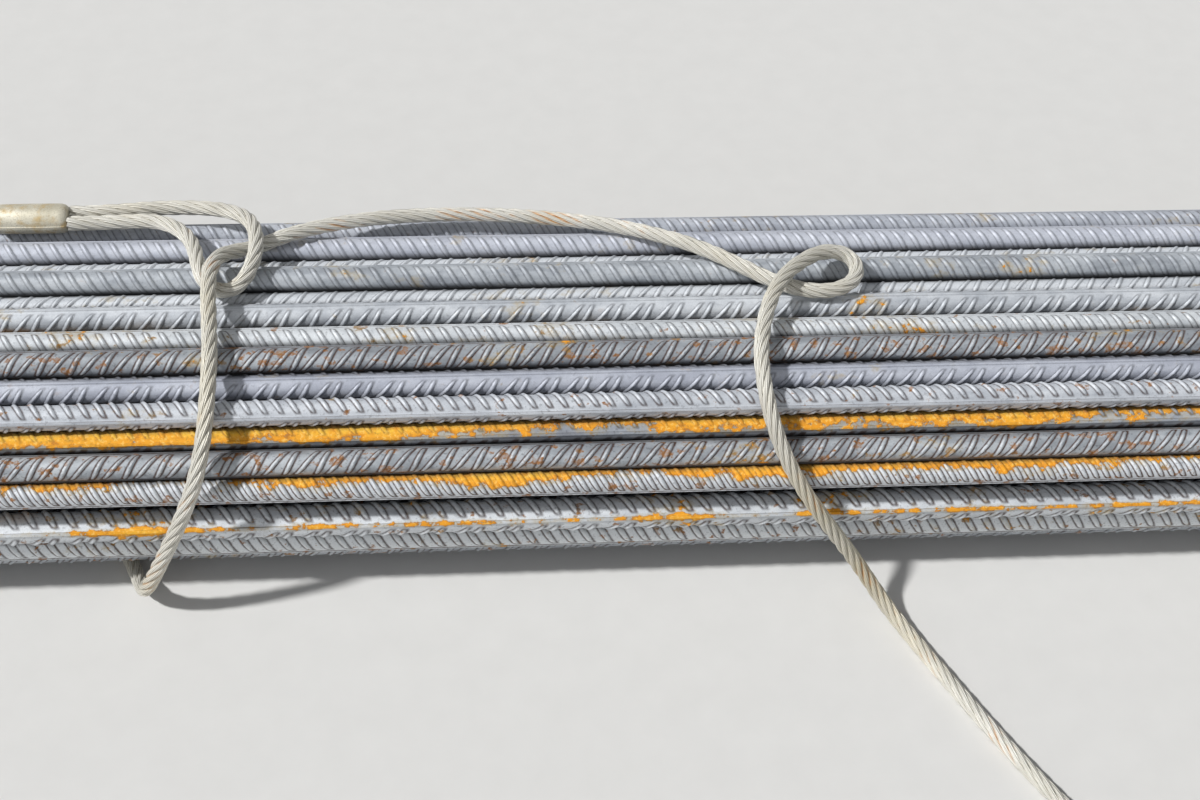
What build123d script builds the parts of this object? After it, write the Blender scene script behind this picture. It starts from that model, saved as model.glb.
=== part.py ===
"""A bundle of straight reinforcing bars, tied with wire rod, with a wire-rope sling choked round it.

+X runs along the bars, +Y to the back and +Z up, in millimetres. The origin is on the floor, under
the middle of the bars. The bars are cylinders of their nominal diameter, as their section is given
by mass; their rolled ribs stand on that section.
"""
import math
import os

from build123d import *

# Bars
BAR_LENGTH = 6000.0
BAR_DIAMETER = 16.0
THICK_BAR_DIAMETER = 20.0
BAR_COUNT = 110
END_STAGGER = 9.0

# The bars rest on each other's ribs, which stand a little over their nominal diameter
BAR_GAP = 0.8
PITCH = BAR_DIAMETER + BAR_GAP

# The bottom row lies side by side on the floor run of the rope
BOTTOM_ROW = 10
BOTTOM_ROW_START = -5.0 * PITCH
BOTTOM_CLEARANCE = 0.3

# Two thicker bars lie one on the other in the front, at this lean, and two more in the upper rows
FRONT_THICK_PLACE = (-6.37 * PITCH, 1.9 * PITCH)
FRONT_THICK_LEAN = 101.0
UPPER_THICK_PLACES = [(3.1 * PITCH, 4.86 * PITCH), (-1.67 * PITCH, 5.34 * PITCH)]

# The rounded outline that the bundle is drawn together to
OUTLINE_HALF_WIDTH = 7.1 * PITCH
OUTLINE_HALF_HEIGHT = 5.85 * PITCH
OUTLINE_MIDDLE = 2.75 * PITCH
OUTLINE_POWER = 3.3

# Layers of bars, each its own node, with the same number in each
LAYERS = 10

# Ties of wire rod, evenly spaced between the outer two
TIE_DIAMETER = 8.0
TIE_CLEARANCE = 0.3
TIE_COUNT = 4
TIE_FROM_END = 550.0

# Wire-rope sling
ROPE_DIAMETER = 10.0
FERRULE_DIAMETER = 20.0
FERRULE_LENGTH = 48.0
FERRULE_TAPER = 4.0
EYE_LEG_GAP = 0.4

TIE_RADIUS = TIE_DIAMETER / 2
ROPE_RADIUS = ROPE_DIAMETER / 2
UNDERSIDE = ROPE_DIAMETER + BOTTOM_CLEARANCE


class Disc:
    """A bar's circle in the bundle's section, grown by half the gap to its neighbours."""

    def __init__(self, y, z, diameter):
        self.y = y
        self.z = z
        self.diameter = diameter
        self.reach = diameter / 2 + BAR_GAP / 2

    def gap_to(self, y, z, reach):
        return math.hypot(self.y - y, self.z - z) - self.reach - reach


def spread(y, z):
    """How far out a place is, measured against the outline that the bundle is drawn to."""
    across = abs(y / OUTLINE_HALF_WIDTH) ** OUTLINE_POWER
    upward = abs((z - UNDERSIDE - OUTLINE_MIDDLE) / OUTLINE_HALF_HEIGHT) ** OUTLINE_POWER
    return across + upward


def places_touching(first, second, reach):
    """The two centres of a circle that touches both discs, where there are any."""
    across = second.y - first.y
    upward = second.z - first.z
    apart = math.hypot(across, upward)
    to_first = first.reach + reach
    to_second = second.reach + reach
    if apart > to_first + to_second:
        return []
    along = (to_first ** 2 - to_second ** 2 + apart ** 2) / (2 * apart)
    side_squared = to_first ** 2 - along ** 2
    if side_squared < 0:
        return []
    side = math.sqrt(side_squared)
    uy, uz = across / apart, upward / apart
    foot_y, foot_z = first.y + along * uy, first.z + along * uz
    return [(foot_y - side * uz, foot_z + side * uy), (foot_y + side * uz, foot_z - side * uy)]


def places_on_floor(disc, reach, lowest):
    """The two centres of a circle that lies in the bottom row and touches the disc."""
    rise = lowest - disc.z
    contact = disc.reach + reach
    if abs(rise) >= contact:
        return []
    side = math.sqrt(contact ** 2 - rise ** 2)
    return [(disc.y - side, lowest), (disc.y + side, lowest)]


def next_place(discs, reach):
    """The free place nearest to the middle of the bundle that touches two bars already there."""
    lowest = UNDERSIDE - BAR_GAP / 2 + reach
    places = []
    for index, first in enumerate(discs):
        places += places_on_floor(first, reach, lowest)
        for second in discs[index + 1:]:
            if first.gap_to(second.y, second.z, second.reach) < 2 * reach:
                places += places_touching(first, second, reach)
    places = [place for place in places if place[1] > lowest - 1e-6]
    places.sort(key=lambda place: spread(*place))
    for y, z in places:
        if all(disc.gap_to(y, z, reach) > -1e-6 for disc in discs):
            return y, z
    raise ValueError("no place left for a bar")


def thick_places():
    """Where the thicker bars lie, across and above the bottom row's underside."""
    y, height = FRONT_THICK_PLACE
    contact = THICK_BAR_DIAMETER + BAR_GAP
    lean = math.radians(FRONT_THICK_LEAN)
    leaning = (y + contact * math.cos(lean), height + contact * math.sin(lean))
    return [(y, height), leaning] + UPPER_THICK_PLACES


def bundle_section():
    """The discs of all bars: the bottom row and the thick bars, then the rest, one by one."""
    discs = []
    for index in range(BOTTOM_ROW):
        y = BOTTOM_ROW_START + index * (BAR_DIAMETER + BAR_GAP)
        discs.append(Disc(y, UNDERSIDE + BAR_DIAMETER / 2, BAR_DIAMETER))
    for y, height in thick_places():
        discs.append(Disc(y, UNDERSIDE + height, THICK_BAR_DIAMETER))
    while len(discs) < BAR_COUNT:
        y, z = next_place(discs, BAR_DIAMETER / 2 + BAR_GAP / 2)
        discs.append(Disc(y, z, BAR_DIAMETER))
    front = min(disc.y - disc.diameter / 2 for disc in discs)
    back = max(disc.y + disc.diameter / 2 for disc in discs)
    return [Disc(disc.y - (front + back) / 2, disc.z, disc.diameter) for disc in discs]


def make_bar(disc, rank):
    """One bar, its ends a little uneven with its neighbours'."""
    shift = END_STAGGER * math.sin(2.4 * rank)
    start = Plane(origin=(shift - BAR_LENGTH / 2, disc.y, disc.z), x_dir=(0, 1, 0), z_dir=(1, 0, 0))
    return extrude(start * Circle(disc.diameter / 2), amount=BAR_LENGTH)


def make_layers(discs):
    """The bars as one node for each layer, from the floor up."""
    layers = [[] for _ in range(LAYERS)]
    for rank, disc in enumerate(sorted(discs, key=lambda disc: (disc.z, disc.y))):
        layers[rank * LAYERS // len(discs)].append(make_bar(disc, rank))
    return {f"bars_layer_{level + 1:02d}": Compound(bars) for level, bars in enumerate(layers)}


def wrap_corners(discs, offset, slack_below):
    """The circles that a tight wire bends round, each with the angles where it meets and leaves it."""
    circles = []
    for disc in discs:
        lowest = disc.z - disc.diameter / 2 < UNDERSIDE + 0.5
        circles.append((disc.y, disc.z, disc.diameter / 2 + offset + (slack_below if lowest else 0.0)))
    current = min(range(len(circles)), key=lambda i: (circles[i][1] - circles[i][2], circles[i][0]))
    angle = -math.pi / 2
    corners = []
    turned = 0.0
    while turned < 2 * math.pi - 1e-6:
        y0, z0, r0 = circles[current]
        best = None
        for other, (y1, z1, r1) in enumerate(circles):
            apart = math.hypot(y1 - y0, z1 - z0)
            if other == current or apart <= abs(r0 - r1):
                continue
            meets = math.atan2(z1 - z0, y1 - y0) - math.acos((r0 - r1) / apart)
            turn = (meets - angle) % (2 * math.pi)
            if turn > 2 * math.pi - 1e-7:
                turn = 0.0
            if best is None or (turn, -apart) < best[:2]:
                best = (turn, -apart, other)
        turn, _, following = best
        corners.append((circles[current], angle, angle + turn))
        angle += turn
        turned += turn
        current = following
    return corners


def make_tie(corners, x):
    """One tie: wire rod drawn tight round the bundle, straight between the bars it bends round."""
    def on_circle(circle, angle):
        y, z, radius = circle
        return Vector(x, y + radius * math.cos(angle), z + radius * math.sin(angle))

    edges = []
    for index, (circle, start, end) in enumerate(corners):
        if end - start > 1e-6:
            middle = on_circle(circle, (start + end) / 2)
            edges.append(ThreePointArc(on_circle(circle, start), middle, on_circle(circle, end)))
        following = corners[(index + 1) % len(corners)][0]
        run_start, run_end = on_circle(circle, end), on_circle(following, end)
        if (run_end - run_start).length > 1e-6:
            edges.append(Line(run_start, run_end))
    path = Wire(edges)
    section = Plane(origin=path @ 0, z_dir=path % 0) * Circle(TIE_RADIUS)
    return sweep(section, path=path)


def cord_radii(points):
    """Each corner's arc, as large as its two runs allow."""
    radii = []
    for before, corner, after in zip(points, points[1:], points[2:]):
        run_in = Vector(*corner) - Vector(*before)
        run_out = Vector(*after) - Vector(*corner)
        half_turn = math.radians(run_in.get_angle(run_out)) / 2
        radii.append(0.45 * min(run_in.length, run_out.length) / math.tan(half_turn))
    return radii


def make_cord(name, points):
    """A round cord along straight runs joined by tangent arcs."""
    radii = cord_radii(points)
    path = FilletPolyline(*points, radius=radii)
    section = Plane(origin=path @ 0, z_dir=path % 0) * Circle(ROPE_RADIUS)
    cord = sweep(section, path=path)
    expected = math.pi * ROPE_RADIUS ** 2 * path.length
    print(f"{name}: length {path.length:.0f} mm, radii", [round(radius) for radius in radii])
    print(f"{name}: volume against section times length {cord.volume / expected:.5f}")
    return cord


def make_ferrule(centre, direction):
    """A pressed ferrule: a round sleeve with tapered ends, from its first face along direction."""
    length = FERRULE_LENGTH
    edge = FERRULE_DIAMETER / 2 - FERRULE_TAPER / 2
    with BuildPart() as ferrule:
        with BuildSketch(Plane.XZ):
            Polygon(
                (0, 0), (edge, 0), (FERRULE_DIAMETER / 2, FERRULE_TAPER),
                (FERRULE_DIAMETER / 2, length - FERRULE_TAPER), (edge, length), (0, length),
                align=None,
            )
        revolve(axis=Axis.Z)
    return Plane(origin=centre, z_dir=direction) * ferrule.part


def ferrule_point(face, axis, distance, side=0.0):
    """A point at a distance along a ferrule's axis from its face, and off to one side of it."""
    across = Vector(*axis).cross(Vector(0, 0, 1)).normalized()
    return tuple(Vector(*face) + Vector(*axis) * distance + across * side)


# The choking eye's ferrule lies on the bundle's back edge, the lifting eye's on the floor in front
CHOKE_FERRULE_FACE = (-343.0, 76.0, 156.8)
CHOKE_FERRULE_AXIS = (-1.0, 0.0, 0.0)
LIFTING_FERRULE_FACE = (330.0, -384.0, 10.2)
LIFTING_FERRULE_AXIS = (0.8, -0.6, 0.0)

# The rope leaves each end of a ferrule straight
EXIT_RUN = 14.0
EYE_LEG = ROPE_RADIUS + EYE_LEG_GAP / 2

CHOKE_EYE_ROUTE = [
    ferrule_point(CHOKE_FERRULE_FACE, CHOKE_FERRULE_AXIS, 0.0, -EYE_LEG),
    ferrule_point(CHOKE_FERRULE_FACE, CHOKE_FERRULE_AXIS, -EXIT_RUN, -EYE_LEG),
    (-312.0, 70.6, 157.4), (-296.0, 69.5, 159.3), (-281.0, 65.5, 161.5), (-267.0, 55.0, 163.0),
    (-258.0, 40.0, 164.0), (-254.0, 24.0, 164.0), (-250.0, 10.0, 161.0), (-241.0, 2.0, 158.0),
    (-229.0, 3.0, 158.5), (-221.0, 12.0, 163.0), (-217.0, 26.0, 167.5), (-217.0, 41.0, 170.0),
    (-222.0, 56.0, 170.0), (-233.0, 67.0, 167.5), (-249.0, 76.0, 163.5), (-268.0, 81.5, 160.0),
    (-289.0, 83.5, 158.0), (-310.0, 82.2, 157.0),
    ferrule_point(CHOKE_FERRULE_FACE, CHOKE_FERRULE_AXIS, -EXIT_RUN, EYE_LEG),
    ferrule_point(CHOKE_FERRULE_FACE, CHOKE_FERRULE_AXIS, 0.0, EYE_LEG),
]

# From the choking eye over the back edge, under the bars, up the front, through the eye, along the top,
# round a bight that lies over itself, and down the front to the floor
SLING_ROUTE = [
    ferrule_point(CHOKE_FERRULE_FACE, CHOKE_FERRULE_AXIS, FERRULE_LENGTH),
    ferrule_point(CHOKE_FERRULE_FACE, CHOKE_FERRULE_AXIS, FERRULE_LENGTH + EXIT_RUN),
    (-418.0, 80.0, 155.0), (-430.0, 91.0, 148.5), (-436.0, 104.0, 137.0), (-438.0, 114.5, 121.5),
    (-438.0, 121.5, 103.5), (-437.0, 126.5, 84.5), (-435.0, 129.0, 64.5), (-432.0, 129.0, 44.5),
    (-429.0, 127.5, 25.5), (-423.0, 117.5, 10.5), (-415.0, 101.0, 5.1), (-394.0, 61.0, 5.1),
    (-362.0, 6.0, 5.1), (-331.0, -48.0, 5.1), (-310.0, -86.0, 5.1), (-300.0, -109.0, 6.6),
    (-293.0, -126.0, 16.0), (-285.0, -132.5, 35.0), (-275.0, -133.0, 57.0), (-265.0, -131.0, 78.0),
    (-256.0, -128.0, 98.0), (-248.0, -121.0, 116.5), (-243.0, -109.5, 132.0), (-240.0, -94.0, 145.5),
    (-239.0, -76.0, 156.0), (-239.0, -56.0, 162.0), (-241.0, -35.0, 165.0), (-243.0, -14.0, 169.5),
    (-244.0, 6.0, 171.5), (-241.0, 22.0, 169.0), (-233.0, 35.0, 162.0), (-219.0, 44.0, 156.8),
    (-201.0, 52.0, 160.0), (-174.0, 62.0, 160.0), (-130.0, 72.0, 158.5), (-63.0, 73.0, 158.0),
    (2.0, 62.0, 159.0), (38.0, 48.0, 161.5), (68.0, 31.0, 164.0), (92.0, 14.0, 163.5),
    (113.0, 0.0, 161.0), (132.0, -9.0, 160.5), (151.0, -11.0, 160.5), (166.0, -4.0, 161.5),
    (171.0, 8.0, 164.0), (164.0, 17.5, 167.5), (150.0, 16.5, 171.0), (136.0, 7.5, 173.5),
    (121.0, -6.0, 174.0), (110.0, -22.0, 171.5), (103.0, -40.0, 167.0), (98.5, -59.0, 161.0),
    (98.0, -79.0, 154.0), (101.0, -97.0, 142.5), (108.0, -111.5, 125.5), (119.0, -122.5, 106.0),
    (133.0, -129.5, 85.0), (148.0, -133.0, 63.0), (162.0, -135.5, 42.0), (175.0, -141.5, 22.5),
    (187.0, -154.0, 9.5), (198.0, -171.0, 5.1), (211.0, -197.0, 5.1), (225.0, -224.0, 5.1),
    (239.0, -250.0, 5.1), (254.0, -276.0, 5.1), (270.0, -301.0, 5.1), (287.0, -327.0, 6.0),
    (304.5, -353.0, 8.7),
    ferrule_point(LIFTING_FERRULE_FACE, LIFTING_FERRULE_AXIS, -EXIT_RUN),
    ferrule_point(LIFTING_FERRULE_FACE, LIFTING_FERRULE_AXIS, 0.0),
]

LIFTING_EYE_ROUTE = [
    ferrule_point(LIFTING_FERRULE_FACE, LIFTING_FERRULE_AXIS, FERRULE_LENGTH, EYE_LEG),
    ferrule_point(LIFTING_FERRULE_FACE, LIFTING_FERRULE_AXIS, FERRULE_LENGTH + EXIT_RUN, EYE_LEG),
    (390.0, -446.0, 8.2), (403.0, -468.0, 5.9), (421.0, -488.0, 5.1), (444.0, -499.0, 5.1),
    (467.0, -494.0, 5.1), (481.0, -475.0, 5.1), (479.0, -452.5, 5.1), (460.0, -436.0, 5.1),
    (434.0, -427.5, 6.2), (408.0, -421.5, 8.6),
    ferrule_point(LIFTING_FERRULE_FACE, LIFTING_FERRULE_AXIS, FERRULE_LENGTH + EXIT_RUN, -EYE_LEG),
    ferrule_point(LIFTING_FERRULE_FACE, LIFTING_FERRULE_AXIS, FERRULE_LENGTH, -EYE_LEG),
]


def build():
    discs = bundle_section()
    nodes = make_layers(discs)
    corners = wrap_corners(discs, TIE_RADIUS + TIE_CLEARANCE, UNDERSIDE - TIE_CLEARANCE - TIE_DIAMETER)
    outer = BAR_LENGTH / 2 - TIE_FROM_END
    for index in range(TIE_COUNT):
        x = outer * (2 * index / (TIE_COUNT - 1) - 1)
        nodes[f"wire_tie_{index + 1}"] = make_tie(corners, x)
    nodes["sling_rope"] = make_cord("sling_rope", SLING_ROUTE)
    nodes["choke_eye"] = make_cord("choke_eye", CHOKE_EYE_ROUTE)
    nodes["lifting_eye"] = make_cord("lifting_eye", LIFTING_EYE_ROUTE)
    nodes["choke_ferrule"] = make_ferrule(CHOKE_FERRULE_FACE, CHOKE_FERRULE_AXIS)
    nodes["lifting_ferrule"] = make_ferrule(LIFTING_FERRULE_FACE, LIFTING_FERRULE_AXIS)
    return nodes


os.makedirs("parts", exist_ok=True)
for node, shape in build().items():
    export_step(shape, f"parts/{node}.step")
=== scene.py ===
# %% [markdown]
# # A bundle of ribbed reinforcing bars in its wire rope sling
#
# Reinforcing bar is rolled from hot steel. The last pair of rolls has crescents cut into it, and they
# leave ribs on the bar that concrete grips later. A hundred or so bars are drawn together into a bundle,
# tied with wire rod, and lifted with a wire rope that chokes round them. This script dresses a plain
# model of such a bundle: it keeps every bar where it is and gives it its ribs, its mill scale and rust,
# and it lays six real strands along the rope.

# %% Load the plain model
import math
import random
from dataclasses import dataclass
import bmesh
import bpy
from mathutils import Matrix, Vector, kdtree


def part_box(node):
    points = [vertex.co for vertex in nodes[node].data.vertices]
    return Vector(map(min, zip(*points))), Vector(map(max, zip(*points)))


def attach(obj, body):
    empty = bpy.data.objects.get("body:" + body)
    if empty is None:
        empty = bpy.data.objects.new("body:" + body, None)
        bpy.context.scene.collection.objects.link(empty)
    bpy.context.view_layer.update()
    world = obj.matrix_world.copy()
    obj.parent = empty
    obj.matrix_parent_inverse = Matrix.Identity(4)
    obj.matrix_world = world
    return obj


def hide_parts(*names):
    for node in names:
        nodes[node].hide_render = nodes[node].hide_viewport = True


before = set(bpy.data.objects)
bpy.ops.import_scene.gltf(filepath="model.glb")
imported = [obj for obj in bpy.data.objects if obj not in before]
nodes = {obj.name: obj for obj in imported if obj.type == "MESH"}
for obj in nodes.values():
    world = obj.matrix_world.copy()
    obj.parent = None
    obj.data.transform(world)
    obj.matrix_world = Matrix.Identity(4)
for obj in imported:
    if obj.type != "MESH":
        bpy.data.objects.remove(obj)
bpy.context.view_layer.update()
scene = bpy.context.scene
random.seed(16)
print("nodes:", len(nodes))

# %% [markdown]
# ## The camera
#
# The picture was taken from in front of the bundle, looking down on it at 47 degrees, from about a metre
# away. A 50 mm lens on a 36 mm sensor sees a piece of the bundle about 0.75 m wide. The camera is turned
# a little to the right and rolled by three degrees, so the bars climb slightly towards the right.

# %% Place the camera
ELEVATION = math.radians(47)
TURN_RIGHT = math.radians(6)
ROLL = math.radians(3.1)
LOOKS_AT = Vector((0.0011, -0.0497, 0.1047))
DISTANCE = 1.075
LENS = 50
SENSOR_WIDTH = 36


def place_camera():
    """A camera on the line of sight that looks at the bundle's front upper edge."""
    level = Vector((math.sin(TURN_RIGHT), math.cos(TURN_RIGHT), 0))
    sight = level * math.cos(ELEVATION) - Vector((0, 0, math.sin(ELEVATION)))
    upright = sight.to_track_quat("-Z", "Y").to_matrix().to_4x4()
    data = bpy.data.cameras.new("camera")
    data.lens = LENS
    data.sensor_width = SENSOR_WIDTH
    camera = bpy.data.objects.new("camera", data)
    stand = Matrix.Translation(LOOKS_AT - sight * DISTANCE)
    camera.matrix_world = stand @ upright @ Matrix.Rotation(ROLL, 4, "Z")
    scene.collection.objects.link(camera)
    return camera


scene.camera = place_camera()
print("camera at", [round(value, 3) for value in scene.camera.matrix_world.translation])

# %% [markdown]
# ## The rope's routes
#
# A stiff wire rope lies in long, smooth bends, so its middle line is a NURBS curve and not a chain of
# straight pieces. The route's points are the curve's control points, and the curve cuts inside them as a
# bent rope does. There are three lengths: the eye that chokes, the sling round the bundle with its free
# end, and the eye that a hook would take.

# %% Routes
FERRULE_LENGTH = 0.048
EXIT_RUN = 0.014
EYE_LEG = 0.0052
ROPE_DIAMETER = 0.010
CHOKE_FERRULE = (Vector((-0.343, 0.076, 0.1568)), Vector((-1, 0, 0)))
LIFTING_FERRULE = (Vector((0.330, -0.384, 0.0102)), Vector((0.8, -0.6, 0)))


def ferrule_point(ferrule, distance, side=0.0):
    """A point at a distance along a ferrule's axis from its first face, and off to one side of it."""
    face, axis = ferrule
    return face + axis * distance + axis.cross(Vector((0, 0, 1))).normalized() * side


def in_metres(points):
    """Points given in millimetres."""
    return [tuple(value / 1000 for value in point) for point in points]


CHOKE_EYE_ROUTE = [
    ferrule_point(CHOKE_FERRULE, 0.0, -EYE_LEG),
    ferrule_point(CHOKE_FERRULE, -EXIT_RUN, -EYE_LEG),
    *in_metres([
        (-312, 70.6, 157.4), (-296, 69.5, 159.3), (-281, 65.5, 161.5), (-267, 55, 163), (-258, 40, 164),
        (-254, 24, 164), (-250, 10, 161), (-241, 2, 158), (-229, 3, 158.5), (-221, 12, 163),
        (-217, 26, 167.5), (-217, 41, 170), (-222, 56, 170), (-233, 67, 167.5), (-249, 76, 163.5),
        (-268, 81.5, 160), (-289, 83.5, 158), (-310, 82.2, 157),
    ]),
    ferrule_point(CHOKE_FERRULE, -EXIT_RUN, EYE_LEG),
    ferrule_point(CHOKE_FERRULE, 0.0, EYE_LEG),
]

SLING_ROUTE = [
    ferrule_point(CHOKE_FERRULE, FERRULE_LENGTH),
    ferrule_point(CHOKE_FERRULE, FERRULE_LENGTH + EXIT_RUN),
    *in_metres([
        (-418, 80, 155), (-430, 91, 148.5), (-436, 104, 137), (-438, 114.5, 121.5), (-438, 121.5, 103.5),
        (-437, 126.5, 84.5), (-435, 129, 64.5), (-432, 129, 44.5), (-429, 127.5, 25.5),
        (-423, 117.5, 10.5), (-415, 101, 5.1), (-394, 61, 5.1), (-362, 6, 5.1), (-331, -48, 5.1),
        (-310, -86, 5.1), (-300, -109, 6.6), (-293, -126, 16), (-285, -132.5, 35), (-275, -133, 57),
        (-265, -131, 78), (-256, -128, 98), (-248, -121, 116.5), (-243, -109.5, 132), (-240, -94, 145.5),
        (-239, -76, 156), (-239, -56, 162), (-241, -35, 165), (-243, -14, 169.5), (-244, 6, 171.5),
        (-241, 22, 169), (-233, 35, 162), (-219, 44, 156.8), (-201, 52, 160), (-174, 62, 160),
        (-130, 72, 158.5), (-63, 73, 158), (2, 62, 159), (38, 48, 161.5), (68, 31, 164), (92, 14, 163.5),
        (113, 0, 161), (132, -9, 160.5), (151, -11, 160.5), (166, -4, 161.5), (171, 8, 164),
        (164, 17.5, 167.5), (150, 16.5, 171), (136, 7.5, 173.5), (121, -6, 174), (110, -22, 171.5),
        (103, -40, 167), (98.5, -59, 161), (98, -79, 154), (101, -97, 142.5), (108, -111.5, 125.5),
        (119, -122.5, 106), (133, -129.5, 85), (148, -133, 63), (162, -135.5, 42), (175, -141.5, 22.5),
        (187, -154, 9.5), (198, -171, 5.1), (211, -197, 5.1), (225, -224, 5.1), (239, -250, 5.1),
        (254, -276, 5.1), (270, -301, 5.1), (287, -327, 6), (304.5, -353, 8.7),
    ]),
    ferrule_point(LIFTING_FERRULE, -EXIT_RUN),
    ferrule_point(LIFTING_FERRULE, 0.0),
]

LIFTING_EYE_ROUTE = [
    ferrule_point(LIFTING_FERRULE, FERRULE_LENGTH, EYE_LEG),
    ferrule_point(LIFTING_FERRULE, FERRULE_LENGTH + EXIT_RUN, EYE_LEG),
    *in_metres([
        (390, -446, 8.2), (403, -468, 5.9), (421, -488, 5.1), (444, -499, 5.1), (467, -494, 5.1),
        (481, -475, 5.1), (479, -452.5, 5.1), (460, -436, 5.1), (434, -427.5, 6.2), (408, -421.5, 8.6),
    ]),
    ferrule_point(LIFTING_FERRULE, FERRULE_LENGTH + EXIT_RUN, -EYE_LEG),
    ferrule_point(LIFTING_FERRULE, FERRULE_LENGTH, -EYE_LEG),
]


# %% Draw a route as one smooth curve and read it back
ROUTE_STEPS = 7
ROUTE_ORDER = 3


def mesh_of(holder):
    """What Blender makes of an object with its modifiers or bevel, as a mesh of its own."""
    scene.collection.objects.link(holder)
    graph = bpy.context.evaluated_depsgraph_get()
    made = bpy.data.meshes.new_from_object(holder.evaluated_get(graph))
    bpy.data.objects.remove(holder)
    return made


def new_curve(name, corners=None):
    """An empty curve; given corners, it makes each of its lines a round wire, rounder the more there are."""
    data = bpy.data.curves.new(name, "CURVE")
    data.dimensions = "3D"
    if corners:
        data.bevel_depth = 1.0
        data.bevel_resolution = corners
        data.use_fill_caps = True
    return data


def add_spline(data, kind, points, radius=1.0):
    """Adds a line through or along the points to a curve, of that radius where the curve has a bevel."""
    spline = data.splines.new(kind)
    spline.points.add(len(points) - 1)
    for place, point in zip(spline.points, points):
        place.co = (*point, 1)
        place.radius = radius
    return spline


def path_along(route):
    """The points of the rope's middle line."""
    data = new_curve("route")
    data.resolution_u = ROUTE_STEPS
    spline = add_spline(data, "NURBS", route)
    spline.order_u = ROUTE_ORDER
    spline.use_endpoint_u = True
    made = mesh_of(bpy.data.objects.new("route", data))
    return [vertex.co.copy() for vertex in made.vertices]


def length_of(path):
    return sum((after - before).length for before, after in zip(path, path[1:]))


choke_path = path_along(CHOKE_EYE_ROUTE)
sling_path = path_along(SLING_ROUTE)
lifting_path = path_along(LIFTING_EYE_ROUTE)
for name, path in (("choke eye", choke_path), ("sling", sling_path), ("lifting eye", lifting_path)):
    print(name, len(path), "points,", round(length_of(path), 3), "m")

# %% [markdown]
# ## Strands
#
# This rope has six strands, each of many thin wires, laid to the right round a core. Each strand is a
# round tube along its own helix, and the helix is wound round the route's points. A frame that turns no
# more than the rope does is carried from point to point, so the lay stays even through every bend. The
# wires in a strand are too fine to model and come later, as bump.

# %% Wind six strands and a core round a path
STRANDS = 6
LAY = 0.066
STRAND_RADIUS = 0.00176
HELIX_RADIUS = 0.00324
CORE_RADIUS = 0.0022


def carried_frames(path):
    """For each point, two directions across the path that turn no more than they must."""
    frames = []
    across = Vector((0, 0, 1))
    for index in range(len(path)):
        ahead = (path[min(index + 1, len(path) - 1)] - path[max(index - 1, 0)]).normalized()
        across = (across - ahead * across.dot(ahead)).normalized()
        frames.append((across.copy(), ahead.cross(across)))
    return frames


def helix(path, frames, start, radius, lay):
    """A helix of that radius round the path, laid to the right."""
    points = []
    walked = 0.0
    for index, point in enumerate(path):
        if index:
            walked += (point - path[index - 1]).length
        angle = start + 2 * math.pi * walked / lay
        first, second = frames[index]
        points.append(point + first * (radius * math.cos(angle)) + second * (radius * math.sin(angle)))
    return points


def stretch_map(made, length):
    """Makes the map read metres along the rope, and turns round each strand."""
    for corner in made.uv_layers[0].data:
        corner.uv.x *= length


def mark_grooves(made, path):
    """Stores how deep each point lies between the strands, from 0 outside to 1 at the core."""
    tree = kdtree.KDTree(len(path))
    for index, point in enumerate(path):
        tree.insert(point, index)
    tree.balance()
    groove = made.attributes.new("groove", "FLOAT", "POINT")
    for vertex in made.vertices:
        near = path[tree.find(vertex.co)[1]]
        depth = 1 - ((vertex.co - near).length - CORE_RADIUS) / (ROPE_DIAMETER / 2 - CORE_RADIUS)
        groove.data[vertex.index].value = min(max(depth, 0), 1)


def make_rope(name, path):
    """A rope of six strands along a path, as one mesh."""
    frames = carried_frames(path)
    data = new_curve(name, 2)
    add_spline(data, "POLY", path, CORE_RADIUS)
    for strand in range(STRANDS):
        turn = 2 * math.pi * strand / STRANDS
        add_spline(data, "POLY", helix(path, frames, turn, HELIX_RADIUS, LAY), STRAND_RADIUS)
    made = mesh_of(bpy.data.objects.new(name, data))
    made.name = name
    made.shade_smooth()
    stretch_map(made, length_of(path))
    mark_grooves(made, path)
    rope = bpy.data.objects.new(name, made)
    scene.collection.objects.link(rope)
    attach(rope, "root")
    return rope


sling = make_rope("sling_strands", sling_path)
choke_eye = make_rope("choke_eye_strands", choke_path)
lifting_eye = make_rope("lifting_eye_strands", lifting_path)
for rope, node in ((sling, "sling_rope"), (choke_eye, "choke_eye"), (lifting_eye, "lifting_eye")):
    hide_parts(node)
    print(rope.name, len(rope.data.polygons), "faces")

# %% [markdown]
# ## Ferrules
#
# A ferrule is an aluminium sleeve that a press closes over the rope. Pressing leaves rounded shoulders,
# and two thin flash lines where the halves of the die met. The shape is spun from its profile, and the
# flash is pulled out of the two rows of faces that lie at the die's edges.


# %% Spin the ferrules
FERRULE_SEGMENTS = 48
FLASH_HALF_WIDTH = 0.0008
FLASH_END = 0.002
FLASH_INSET = 0.0002
FLASH_HEIGHT = 0.0005
MERGE = 1e-6


def spun(profile, segments):
    """A closed shape round X, from points at (distance along it, radius)."""
    mesh = bmesh.new()
    points = [mesh.verts.new((along, radius, 0)) for along, radius in profile]
    edges = [mesh.edges.new(pair) for pair in zip(points, points[1:])]
    bmesh.ops.spin(
        mesh, geom=points + edges, cent=(0, 0, 0), axis=(1, 0, 0), dvec=(0, 0, 0),
        angle=2 * math.pi, steps=segments, use_merge=True, use_normal_flip=False, use_duplicate=False,
    )
    bmesh.ops.remove_doubles(mesh, verts=mesh.verts, dist=MERGE)
    bmesh.ops.recalc_face_normals(mesh, faces=mesh.faces)
    return mesh


def kept(mesh, name):
    """A bmesh as a mesh of that name; the bmesh is let go."""
    made = bpy.data.meshes.new(name)
    mesh.to_mesh(made)
    mesh.free()
    return made


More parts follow.
